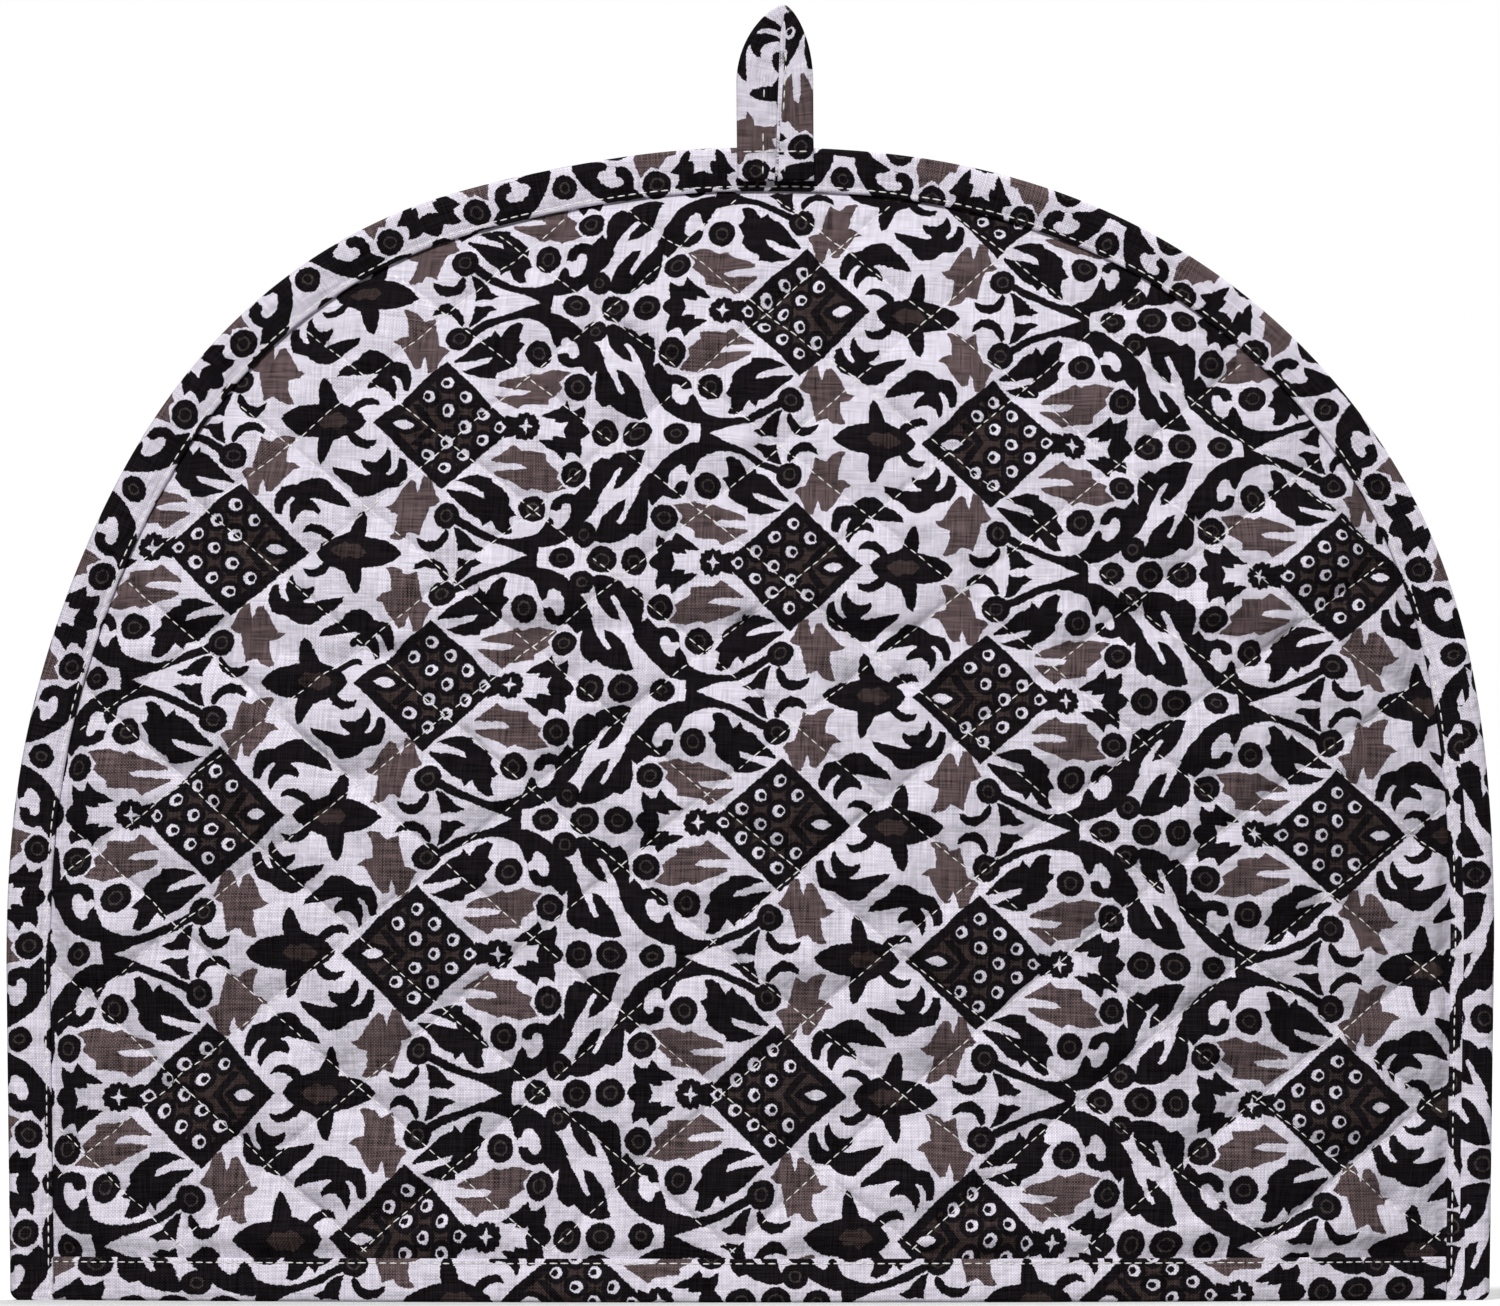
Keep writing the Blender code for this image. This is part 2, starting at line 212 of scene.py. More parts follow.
# Print: one half of a repeat, in millimetres from the middle of a diamond. The other half is turned, and
# each row mirrored. The corners of shapes are complex numbers.
REPEAT_HALF = (64.4, 30.6)
REPEAT_LEFT = -41.4
PRINT_CENTRE = (7.36 * MM, 109.3 * MM)
PRINT_PITCH = (128.7 * MM, 61.15 * MM)
PRINT_LEAN = (2.4 * MM, 2.6 * MM)
PRINT_SHEAR = 1.8 * MM
PRINT_CROWDING = 0.017
PRINT_DRAWN_ACROSS = (-1.49, -1.12, -2.91, -0.6, 0.14, 1.32, 0.47, -0.29, -0.74, 2.24)
PRINT_DRAWN_UP = (-0.37, -0.55, -1.9, 0.0, -1.17, -0.39, 0.3, 1.05, 0.17, 1.32)
BACK_PRINT_SHIFT = (33 * MM, 19 * MM)
# Wobbles of the ink: how many to the millimetre, and how far they reach.
WOBBLES = ((3.1, 0.34), (1.1, 0.5), (0.11, 1.1))
DIAMOND = (16.1, 15.25)
DIAMOND_BORDER = 2.1
EYELET_START = 13.1
EYELET_STEP = (8.4, 6.6)
EYELET_ROWS = (3.5, 1.5)
EYELET_BLACK = 2.75
EYELET_LIGHT = 1.4
EYELET_PUPIL = 0.78
PUPIL_OFF = 0.35
# The chevron: its slope, place, half width and top. The lenses: middle, half length and half height.
CHEVRON = (-0.8, 3.0, 1.1, 5.0)
BLACK_LENS = (9.3, 4.6, 2.4)
LIGHT_LENS = (9.4, 2.4, 1.15)
DOT_RING = 1.6
DOT_RING_HALF = 0.2
ROSETTE = -19.0
ROSETTE_SCALLOPS = (2.75, 0.45, 6)
ROSETTE_STAR = (1.6, 0.6, 1.9, 0.6)
ROSETTE_NECK = (1.5+1.7j, 4.8+2.6j, 4.8-2.6j, 1.5-1.7j)
ROSETTE_NECK_MIDDLE = 3.5
DOTS = (
    ((-37.25, 0.0), 3.0), ((-30.6, 10.45), 2.95), ((-21.0, 18.6), 2.95), ((-37.9, 30.9), 3.3),
    ((-28.75, 30.9), 2.85), ((-1.85, 21.65), 2.9),
)
ODD_DOT = ((-33.7, 24.9), 2.7)
STEM = (-27.0, -3.0)
STEM_TOP = (
    -27+23.3j, -26.2+22.8j, -25.8+21.2j, -25.2+20.8j, -24.5+21.4j, -23.7+23.3j, -23+24.8j, -21.5+25.7j,
    -19+26.5j, -16+26.7j, -13+26j, -8.5+24j, -3+21j,
)
STEM_LOW = (
    -27+27.3j, -25+28j, -23.3+28.1j, -23.2+31j, -22.1+31j, -20.3+30.1j, -18.4+29.4j, -16.5+28.5j,
    -12.6+27.3j, -8+25.6j, -3+22.9j,
)
# Every shape has its ink, a middle that sees its whole edge, and then its corners.
SHAPES = {
    "crown": ("black", -29.1+3.7j,
        -34-0.8j, -32.7+1.6j, -31.4+2.1j, -32.1+4.6j, -31.8+6.4j, -29.9+5.2j, -28.8+5.2j, -28.1+7.2j,
        -26.2+5.4j, -24.3+4.5j, -22.4+3j, -24+2.65j, -25.8+3.2j, -25.6+1.9j, -27.2+1.9j, -28.5+2.3j,
        -27.5-0.8j),
    "wide leaf": ("brown", -21.5+9.7j,
        -11.3+7.8j, -13.8+6.2j, -17+4.1j, -17.5+5.6j, -23.7+6.1j, -23.7+7.7j, -26.9+9.8j, -26.3+11.2j,
        -28.6+13.7j, -24.2+14.6j, -20.8+13.6j, -19.5+14.2j, -17+12.9j, -14+12j, -12+10.9j, -11.8+9.5j),
    "wide leaf cut": ("brown cut", -15.5+9.2j,
        -19.6+9.7j, -18.6+8.7j, -16.5+8.2j, -10+8.1j, -10+10.2j, -16.8+10.2j),
    "long leaf": ("black", -40.6+7.4j,
        -47+4.4j, -46+6.4j, -44.9+9.8j, -43.2+11.9j, -41.7+13.4j, -40+13.9j, -38+14.5j, -35.2+20j,
        -34.6+14.6j, -34.6+10j, -35.1+7.5j, -37.2+5.7j, -37.9+7.2j, -40+5.2j, -42.5+4.1j, -45+3.8j),
    "long leaf cut": ("black cut", -39.7+11.6j,
        -42+8.7j, -41.2+8.3j, -40.1+9.4j, -38.9+11.6j, -37.2+14.6j, -36.2+17.3j, -38.6+16.6j,
        -39.9+13.9j, -40.3+12.3j),
    "scroll": ("black", -31.0+18.8j,
        -37.9+12j, -36.2+17.5j, -34.9+20.3j, -33.5+21.8j, -31.8+24.1j, -29.5+26j, -27.3+27.2j,
        -25.9+27.7j, -24.6+25j, -25+21.5j, -25.6+19j, -25.7+17.8j, -26.1+16.7j, -27.2+15.7j, -29+15.2j,
        -31+15.7j, -33.3+13.2j, -34.6+14.6j),
    "scroll hole": ("black cut", -28.0+20.6j,
        -28.2+17.6j, -29+17.3j, -29.9+17.6j, -30.3+18.6j, -30.2+20.8j, -29+22.6j, -27.5+23.4j, -26.4+23j,
        -25.9+21.3j, -24.8+20.2j, -25.4+18.8j, -26.7+19.1j, -27.6+18.8j),
    "spur": ("black", -6.2+27.6j,
        -10.5+28.8j, -8.3+27.8j, -7+26.2j, -5.5+25j, -3.8+24.4j, -4.4+26.2j, -5+28j, -5+29.8j,
        -6.7+29.3j, -8.6+29.7j),
    "crescent": ("black", 1.2+28.8j,
        -2.4+25.5j, -1.7+24.8j, -0.7+26.6j, 0.6+27.6j, 2.6+27.8j, 4.9+26.9j, 4.6+28.3j, 3+29.6j, 1+29.8j,
        -1+28.8j, -2.3+27j),
    "split leaf": ("black", -11.8+18.2j,
        -11.2+12j, -8+11.8j, -4.3+12.9j, -2+14.2j, -1.6+15.9j, -4.7+18.7j, -7.4+21.2j, -9.7+22.1j,
        -10.2+23.5j, -11.8+21.8j, -13.3+24.2j, -15.2+25.3j, -16.7+24.9j, -15.9+22.5j, -16+21.1j,
        -17.3+20.5j, -15.5+18j, -15.8+16.7j, -14.9+15.5j, -13.5+14.3j, -11.3+13.2j),
    "split leaf cut": ("black cut", -6.5+15.4j,
        -10.4+17j, -9.9+15.7j, -8+14.7j, -4+13.3j, -1+13j, -1+15.2j, -2.1+15.4j, -6+16.1j, -9+16.8j),
    "horned leaf": ("black", 14.5+12.8j,
        9.9+8.2j, 8.8+8.4j, 8.5+10.5j, 8.9+12.6j, 10+14.4j, 11.5+14.8j, 13.2+15j, 14.5+16.2j, 16+17j,
        18.5+17.2j, 20+16.2j, 20.8+15j, 23+13.6j, 24.8+12j, 25.4+10.4j, 24+10.9j, 21+11.9j, 18+12.3j,
        16.4+12j, 16.2+11.7j, 17.8+10.7j, 18.6+9.4j, 18.4+8.5j, 17+9.1j, 15.3+9.2j, 14+8.1j, 13.3+7j,
        13+5.7j, 12.2+6.7j, 11.9+8.5j),
    "horned leaf cut": ("black cut", 11.6+10j,
        10+7.6j, 11.8+6.8j, 11.9+8.8j, 12.4+10.5j, 13.3+11.8j, 12.6+12.1j, 11.4+11.4j, 10.5+10.1j),
    "oak leaf": ("brown", 6.0+19.8j,
        4.4+12.5j, 2.5+12.8j, 1.9+15j, 1.2+16.6j, 0+18.2j, 1.3+19.2j, 2.6+19.4j, 3.2+21.5j, 4+24.5j,
        4.3+26.2j, 6+25.3j, 6.8+25.2j, 8+26.6j, 10+27.2j, 11.5+26.9j, 10.4+25.8j, 9.7+23.5j, 9.6+21.3j,
        11.5+20.9j, 13+19.6j, 11.3+19.2j, 10+17j, 8.8+15j, 7.5+13.4j, 6.2+13.7j, 5.9+15.5j, 5.5+16.5j,
        4.9+14.8j),
    "tulip": ("black", 26.5+0j,
        18+0j, 19.1+1.6j, 21.3+3.2j, 23.6+4j, 25.3+4.8j, 25.9+6.6j, 27.3+9.4j, 28.4+10j, 29.1+8.4j,
        29.3+6j, 29.1+3.8j, 31.2+3.5j, 33.7+2.9j, 36.2+1.5j, 37.5+0j, 34-3j, 26-5j, 20-3j),
    "tulip heart": ("dark brown", 25.7+0j,
        21.6+0j, 23+1.2j, 24.6+2.2j, 26+1.5j, 28+1.8j, 29.7+0j, 28-1.8j, 24-2j),
    "curl": ("black", 18.7+4.9j,
        15.2+3.9j, 16.4+4.5j, 18.4+4.2j, 19.6+3.2j, 20.6+2.2j, 22+3.2j, 20.8+4.9j, 19+5.8j, 17.2+6j,
        15.9+5.4j),
}
# Shapes that reach over the middle of a turn, and are met again turned about it.
TURNED_AT_LEFT = ("long leaf", "long leaf cut")
TURNED_AT_RIGHT = ("horned leaf", "tulip", "tulip heart", "curl")
RAYS = 80
REACH = 20.0


def stacked(*values):
    return np.stack(np.broadcast_arrays(*values), axis=-1)


def unit(ways):
    return ways / np.linalg.norm(ways, axis=-1, keepdims=True)


def smooth(t):
    t = np.clip(t, 0.0, 1.0)
    return t * t * (3 - 2 * t)


def bump(value, middle, spread):
    return np.exp(-(((value - middle) / spread) ** 2))


def half_width(z, inset=0.0):
    """Half the outline's width at height z, or that of the outline drawn in by inset."""
    taper = (HALF_WIDTH - HEM_HALF_WIDTH) * np.clip(1 - z / DOME_BASE, 0, None)
    up = np.clip((z - DOME_BASE) / (DOME_TOP - DOME_BASE - inset), 0, 1)
    return (HALF_WIDTH - inset) * (1 - up**ROUNDNESS) ** (1 / ROUNDNESS) - taper


def outward(x, z):
    """Direction out of the outline at points near it."""
    height = DOME_TOP - DOME_BASE
    across = np.sign(x) * (np.abs(x) / HALF_WIDTH) ** (ROUNDNESS - 1) / HALF_WIDTH
    up = np.clip((z - DOME_BASE) / height, 0, None) ** (ROUNDNESS - 1) / height
    length = np.hypot(across, up)
    return across / length, up / length


def outline_points(count, inset=0.0):
    """count + 1 evenly spaced points round the curved edge, from the hem's left end."""
    angle = np.pi * (1 - np.linspace(0, 1, OUTLINE_SAMPLES + 1))
    side = np.cos(angle)
    x = HALF_WIDTH * np.sign(side) * np.abs(side) ** (2 / ROUNDNESS)
    z = DOME_BASE + (DOME_TOP - DOME_BASE) * np.abs(np.sin(angle)) ** (2 / ROUNDNESS)
    x = np.concatenate(([-HEM_HALF_WIDTH], x, [HEM_HALF_WIDTH]))
    z = np.concatenate(([0.0], z, [0.0]))
    along = np.concatenate(([0.0], np.cumsum(np.hypot(np.diff(x), np.diff(z)))))
    wanted = np.linspace(0, along[-1], count + 1)
    x, z = np.interp(wanted, along, x), np.interp(wanted, along, z)
    out_x, out_z = outward(x, z)
    return x - out_x * inset, z - out_z * inset, wanted


def seam_share(x, z):
    """0 in the middle of a panel, and 1 from the binding's inner edge outwards."""
    low = half_width(np.minimum(z, DOME_BASE), BINDING_WIDTH)
    width = np.where(z < DOME_BASE, low, HALF_WIDTH - BINDING_WIDTH)
    up = np.clip((z - DOME_BASE) / (DOME_TOP - DOME_BASE - BINDING_WIDTH), 0, None)
    return np.minimum(((np.abs(x) / width) ** ROUNDNESS + up**ROUNDNESS) ** (1 / ROUNDNESS), 1.0)


def seam_offset(z):
    """How far a panel's middle lies from the seam's plane along the seam: more at the hem."""
    upper = APART / 2 + PRESSED_HALF
    lower = APART + PRESSED_HALF + BINDING_WALL + APART / 2
    return upper + (lower - upper) * smooth(1 - z / SPREAD_HEIGHT)


def panel_depth(x, z):
    """How far a panel's middle lies from the seam's plane."""
    flare = np.clip(1 - z / DOME_BASE, 0, None) ** 2
    depth = DEPTH_AT_DOME + (DEPTH_AT_HEM - DEPTH_AT_DOME) * flare
    crease = CREASE[0] * bump(z, *CREASE[1:])
    return seam_offset(z) + (depth - crease) * (1 - seam_share(x, z) ** BULGE_POWER)


def panel_normal(x, z):
    """Direction out of the front panel's face."""
    reach = MM
    slope_x = (panel_depth(x + reach, z) - panel_depth(x - reach, z)) / (2 * reach)
    slope_z = (panel_depth(x, z + reach) - panel_depth(x, z - reach)) / (2 * reach)
    return unit(stacked(-slope_x, -1.0, -slope_z))


def settled(points):
    """The points moved by the cosy's lean and by the dip in its top."""
    x, y, z = points.T
    lean = LEAN[0] * bump(z, *LEAN[1:])
    dip = DIP[0] * bump(x, *DIP[1:]) * smooth((z - DIP_FROM) / (DOME_TOP - DIP_FROM))
    return stacked(x + lean, y, z - dip)


def roughly(x, z, scale, seed=0.0):
    """Soft unevenness from -1 to 1, with hills about scale apart."""
    return np.array([noise.noise(Vector((a / scale, b / scale, seed))) for a, b in zip(x, z)])


def quilt_terms(x, z):
    """Products of x and z up to the third power, in QUILT_UNIT from the middle."""
    x, z = x / QUILT_UNIT, (z - QUILT_MIDDLE) / QUILT_UNIT
    return stacked(np.ones_like(x), x, z, x * x, x * z, z * z, x**3, x * x * z, x * z * z, z**3)


def quilt_cells(x, z):
    """Place in the quilting, where whole numbers are stitched lines, of a flat place."""
    terms = quilt_terms(x, z)
    return np.array((terms @ LINES_DOWN, terms @ LINES_UP))


def quilt_place(*wanted):
    """Flat place of a place in the quilting."""
    slopes = np.array((LINES_DOWN[1:3], LINES_UP[1:3]))
    start = np.array((LINES_DOWN[:1], LINES_UP[:1]))
    x, z = np.linalg.solve(slopes, wanted - start) * QUILT_UNIT
    z = z + QUILT_MIDDLE
    reach = 0.5 * MM
    for _ in range(10):
        here = quilt_cells(x, z)
        off_down, off_up = wanted - here
        down_x, up_x = quilt_cells(x + reach, z) - here
        down_z, up_z = quilt_cells(x, z + reach) - here
        scale = reach / (down_x * up_z - down_z * up_x)
        x = x + scale * (up_z * off_down - down_z * off_up)
        z = z + scale * (down_x * off_up - up_x * off_down)
    return x, z


def closer(cells):
    """Moves even places in the quilting nearer to the stitched lines."""
    return cells - CLOSER_AT_LINES * np.sin(2 * np.pi * cells) / (2 * np.pi)


def puckers(down, up):
    """Small gathers that run out from the stitched lines."""
    raised = np.zeros_like(down)
    for across, along, seed in ((down, up, 3.0), (up, down, 8.0)):
        line = np.round(across)
        fade = np.exp(-np.abs(across - line) * CELL_WIDTH / PUCKER_REACH)
        place = along * CELL_WIDTH, line * LINE_APART * PUCKER_PITCH
        raised += fade * roughly(*place, PUCKER_PITCH, seed) * 1.8
    return PUCKER * raised


def panel_points(x, z, down, up, face):
    """Points of a front panel's outer (1) or inner (-1) face."""
    puff = np.abs(np.sin(np.pi * down) * np.sin(np.pi * up)) ** PUFF_POWER
    full = STITCHED_HALF + PUFF * puff * (1 + PUFF_UNEVEN * roughly(x, z, 2 * WRINKLE_PITCH, 5.0))
    full = np.maximum(full + puckers(down, up), THINNEST_HALF)
    sway = WRINKLE * roughly(x, z, WRINKLE_PITCH, 1.0) + RUMPLE * roughly(x, z, RUMPLE_PITCH, 4.0)
    wander = FOLD_SPREAD * roughly(x, z * 0, WRINKLE_PITCH, 2.0)
    for *measures, slant in FOLDS:
        middle_x, height, half_length, depth = (value * MM for value in measures)
        from_fold = z - height - wander - slant * (x - middle_x)
        sway = sway - depth * bump(from_fold, 0.0, FOLD_SPREAD) * bump(x, middle_x, half_length)
    from_seam = (1 - seam_share(x, z)) * (HALF_WIDTH - BINDING_WIDTH)
    free = smooth(from_seam / PRESS_FADE) * smooth((z - HEM_HEIGHT) / PRESS_FADE)
    half = PRESSED_HALF + (full - PRESSED_HALF) * free
    middle = stacked(x, -panel_depth(x, z), z)
    return middle + panel_normal(x, z) * (half * face + sway * free)[:, None]


def placed_object(name, data):
    obj = bpy.data.objects.new(name, data)
    bpy.context.scene.collection.objects.link(obj)
    return obj


def mesh_object(name, bm, materials):
    """A smooth object of a bmesh, with its faces turned out."""
    bmesh.ops.recalc_face_normals(bm, faces=bm.faces[:])
    if bm.calc_volume(signed=True) < 0:
        bmesh.ops.reverse_faces(bm, faces=bm.faces[:])
    mesh = bpy.data.meshes.new(name)
    bm.to_mesh(mesh)
    bm.free()
    mesh.shade_smooth()
    for material in materials:
        mesh.materials.append(material)
    return placed_object(name, mesh)


def coordinates(bm):
    return np.array([vertex.co for vertex in bm.verts])


def unit_grid(along, across):
    """A grid of faces, and the place of each point, from 0 to 1 both ways."""
    bm = bmesh.new()
    bmesh.ops.create_grid(bm, x_segments=along, y_segments=across, size=0.5)
    return bm, coordinates(bm) + 0.5


def print_mapped(obj):
    """The object, with the print's UV map made from the flat place kept at each point."""
    mesh = obj.data
    flat = np.empty(len(mesh.vertices) * 3, np.float32)
    mesh.attributes["flat"].data.foreach_get("vector", flat)
    corner = np.empty(len(mesh.loops), np.int32)
    mesh.loops.foreach_get("vertex_index", corner)
    layer = mesh.uv_layers.new(name="print")
    layer.data.foreach_set("uv", flat.reshape(-1, 3)[corner, :2].ravel())
    mesh.attributes.remove(mesh.attributes["flat"])
    return obj


def thickened(bm, outer, inner, places):
    """Gives a layer of faces its second side. The arrays have a row for each vertex."""
    flat = bm.verts.layers.float_vector.new("flat")
    order = bm.verts.layers.int.new("order")
    vertices = bm.verts[:]
    for index, vertex in enumerate(vertices):
        vertex[flat] = (*places[index], 0.0)
        vertex[order] = index
    made = bmesh.ops.extrude_face_region(bm, geom=bm.faces[:], use_keep_orig=True)["geom"]
    for vertex in vertices:
        vertex.co = outer[vertex[order]]
    for item in made:
        if isinstance(item, bmesh.types.BMVert):
            item.co = inner[item[order]]
        elif isinstance(item, bmesh.types.BMFace):
            item.material_index = 1
    bm.verts.layers.int.remove(order)
    bmesh.ops.recalc_face_normals(bm, faces=bm.faces[:])


def print_place(x, z):
    """Where the print's repeat lies on a panel, as it leans and spreads. All in metres."""
    terms = quilt_terms(x, z)
    x, z = x - terms @ PRINT_DRAWN_ACROSS * MM, z - terms @ PRINT_DRAWN_UP * MM
    across, down = np.zeros_like(x), np.zeros_like(x)
    for _ in range(6):
        down = (PRINT_CENTRE[1] - PRINT_LEAN[1] * across - z) / PRINT_PITCH[1] - PRINT_CROWDING * down**2
        off = x - PRINT_CENTRE[0] + PRINT_LEAN[0] * down - PRINT_SHEAR * across * down
        across = off / PRINT_PITCH[0]
    return stacked(across * 2 * REPEAT_HALF[0], down * 2 * REPEAT_HALF[1]) * MM


def build_panel(name, side, materials):
    """side is -1 for the front panel and 1 for the back one."""
    downs, ups = CELLS_DOWN[1] - CELLS_DOWN[0], CELLS_UP[1] - CELLS_UP[0]
    bm, grid = unit_grid(downs * STEPS_PER_CELL, ups * STEPS_PER_CELL)
    cells = bm.verts.layers.float_vector.new("cells")
    down = closer(CELLS_DOWN[0] + grid[:, 0] * downs)
    up = closer(CELLS_UP[0] + grid[:, 1] * ups)
    x, z = quilt_place(down, up)
    for vertex, i, j, a, b in zip(bm.verts, down, up, x, z):
        vertex[cells] = (i, j, 0.0)
        vertex.co = (a, 0.0, b)
    cut_to_rim(bm)
    x, _, z = coordinates(bm).T
    down, up, _ = np.array([vertex[cells] for vertex in bm.verts]).T
    bm.verts.layers.float_vector.remove(cells)
    faces = [settled(panel_points(x, z, down, up, face)) * (1, -side, 1) for face in (1, -1)]
    if side > 0:
        x, z = BACK_PRINT_SHIFT[0] - x, z + BACK_PRINT_SHIFT[1]
    places = print_place(x, z)
    thickened(bm, *faces, places)
    return print_mapped(mesh_object(name, bm, materials))


def cut_to_rim(bm):
    """Cuts the grid to a line a little way inside the bindings."""
    x, z, _ = outline_points(RIM_STATIONS, BINDING_WIDTH - TUCKED)
    cuts = []
    for k in range(RIM_STATIONS):
        along = Vector((x[k + 1] - x[k], z[k + 1] - z[k])).normalized()
        if max(z[k], z[k + 1]) >= HEM_HEIGHT:
            cuts.append(((x[k], 0.0, z[k]), (-along.y, 0.0, along.x)))
    cuts.append(((0.0, 0.0, HEM_HEIGHT - TUCKED), (0.0, 0.0, -1.0)))
    for plane in cuts:
        plane = dict(zip(("plane_co", "plane_no"), plane), dist=CUT_REACH, clear_outer=True)
        bmesh.ops.bisect_plane(bm, geom=bm.verts[:] + bm.edges[:] + bm.faces[:], **plane)
    bmesh.ops.dissolve_degenerate(bm, edges=bm.edges[:], dist=THINNEST_FACE)


def curve_weights(keys, columns):
    """How much of each key goes into each column of a smooth curve through the keys."""
    weights = np.zeros((columns, keys))
    for column, t in enumerate(np.linspace(0, keys - 1, columns)):
        k = min(int(t), keys - 2)
        u = t - k
        shares = (-u + 2 * u**2 - u**3, 2 - 5 * u**2 + 3 * u**3, u + 4 * u**2 - 3 * u**3, -(u**2) + u**3)
        for step, share in enumerate(shares, -1):
            weights[column, min(max(k + step, 0), keys - 1)] += share / 2
    return weights


def folded_section(lip, inside, fold):
    """A folded strip's section at each station: the ways in from the fold and to one side."""
    low = inside + CLOTH / 2
    high = inside + BINDING_WALL - CLOTH / 2
    none = np.zeros_like(inside)
    half = (
        (lip - TURNED_IN, low), (lip - 0.6 * MM, low), (lip - CLOTH / 2, (low + high) / 2),
        (lip - 0.7 * MM, high), (lip - TOPSTITCH_IN, high - 0.15 * MM), (lip - 2.6 * MM, high + 0.1 * MM),
        (lip * 0.5, high + 0.25 * MM), (fold * 1.3, high), (fold * 0.35, high * 0.7),
    )
    ways, overs = zip(*half)
    way = stacked(*ways, CLOTH / 2 + none, *ways[::-1])
    over = stacked(*(-key for key in overs), none, *overs[::-1])
    weights = curve_weights(way.shape[1], COLUMNS).T
    return way @ weights, over @ weights


def grid_normals(points):
    """Directions out of a grid of points."""
    return unit(np.cross(np.gradient(points, axis=0), np.gradient(points, axis=1)))


def strip(name, points, places, materials):
    """A strip of cloth through a grid of points, with its flat places."""
    rows, columns = points.shape[:2]
    bm, grid = unit_grid(rows - 1, columns - 1)
    row = np.rint(grid[:, 0] * (rows - 1)).astype(int)
    column = np.rint(grid[:, 1] * (columns - 1)).astype(int)
    half = grid_normals(points) * CLOTH / 2
    outer, inner = (points + half)[row, column], (points - half)[row, column]
    thickened(bm, settled(outer), settled(inner), places[row, column])
    return print_mapped(mesh_object(name, bm, materials))


def lengths(points, axis=0):
    """Distance along points, or along each row of a grid of points, from the first."""
    steps = np.diff(points, axis=axis, prepend=points.take([0], axis))
    return np.cumsum(np.linalg.norm(steps, axis=-1), axis=axis)


def gathered(over, rows, seed):
    """A folded strip's section with small ripples along it, which fade at the lips."""
    ripples = roughly(rows, rows * 0, GATHER_PITCH, seed)
    fade = np.sin(np.pi * np.linspace(0, 1, COLUMNS)) ** 2
    return over * (1 + GATHER * (ripples[:, None] * fade))


def across_from_fold(points):
    """Distance across a folded strip's cloth, from its fold."""
    across = lengths(points, 1)
    return across - across[:, [COLUMNS // 2]]


def printed_at(table, along):
    """Where the print falls along a strip, read off a table in mm."""
    marks, *ways = np.array(table).T * MM
    return [np.interp(along, marks, way)[:, None] for way in ways]


def stitched_columns(points):
    """Points along a folded strip's outside, down its stitched columns, and the directions out of it."""
    middle = points.mean(axis=1)
    runs = []
    for column in (STITCHED_COLUMN, COLUMNS - 1 - STITCHED_COLUMN):
        normal = grid_normals(points)[:, column]
        way = np.sign(np.sum(normal * (points[:, column] - middle), axis=1, keepdims=True))
        runs.append((points[:, column] + normal * way * CLOTH / 2, normal * way))
    return runs


def build_edge_binding(materials):
    x, z, measured = outline_points(BINDING_STATIONS)
    bend = CORNER * (1 - np.cos(np.pi / 2 * np.linspace(0, 1, CORNER_STATIONS, endpoint=False)))
    length = measured[-1]
    between = np.linspace(CORNER, length - CORNER, BINDING_STATIONS)
    along = np.concatenate((bend, between, length - bend[::-1]))
    x, z = (np.interp(along, measured, values) for values in (x, z))
    out_x, out_z = outward(x, z)
    inside = seam_offset(z) + PRESSED_HALF + APART
    way, over = folded_section(BINDING_WIDTH - APART, inside, BINDING_FOLD)
    over = gathered(over, along, 4.0)
    low = np.clip(1 - z / CORNER, 0, 1)
    way = np.maximum(way, (CORNER * (1 - np.sqrt(1 - low**2)))[:, None])
    points = stacked(x[:, None] - out_x[:, None] * way, over, z[:, None] - out_z[:, None] * way)
    across = across_from_fold(points)
    shift, up = printed_at(BINDING_PRINT, along)
    places = stacked(across + shift, up)
    binding = strip("edge_binding_cloth", points, places, materials)
    shift_past_join(binding, x, z, along)
    return binding, stitched_columns(points)


def shift_past_join(binding, x, z, along):
    """The binding is two strips, end to end: the print starts anew on the second."""
    join_x, join_z = (np.interp(BINDING_JOIN, along, values) for values in (x, z))
    print_map = binding.data.uv_layers["print"].data
    for polygon in binding.data.polygons:
        past = polygon.center.x - join_x
        if past > 0 and polygon.center.z < join_z - past * JOIN_SLOPE:
            for corner in polygon.loop_indices:
                print_map[corner].uv += Vector(BINDING_JOIN_SHIFT)


def build_hem_binding(name, side, materials):
    """side is -1 for the front panel's hem and 1 for the back one's."""
    end = half_width(0.0, BINDING_WIDTH) - APART
    x = end * np.sin(np.pi * (np.linspace(0, 1, HEM_STATIONS + 1) - 0.5))
    normal = panel_normal(x, np.full_like(x, HEM_HEIGHT / 2))[:, :2]
    normal[[0, -1]] = (0.0, -1.0)
    normal = unit(normal)
    way, over = folded_section(HEM_HEIGHT, np.full_like(x, PRESSED_HALF + APART), HEM_FOLD)
    over = gathered(over, x, 9.0)
    y = side * (panel_depth(x[:, None], way) - normal[:, 1:] * over)
    points = stacked(x[:, None] + normal[:, :1] * over, y, way)
    across = across_from_fold(points)
    printed, up = printed_at(HEM_PRINT, x if side < 0 else -x)
    places = stacked(printed, up + across)
    return strip(name, points, places, materials), stitched_columns(points)


def loop_slit(up):
    """x of the slit's middle and half its width, at a share of its height."""
    middle = LOOP_SLIT_X + (LOOP_TIP.x - LOOP_SLIT_X) * up
    return middle, LOOP_SLIT / 2 * (0.7 + 0.8 * up**2) * (1 - up**20)


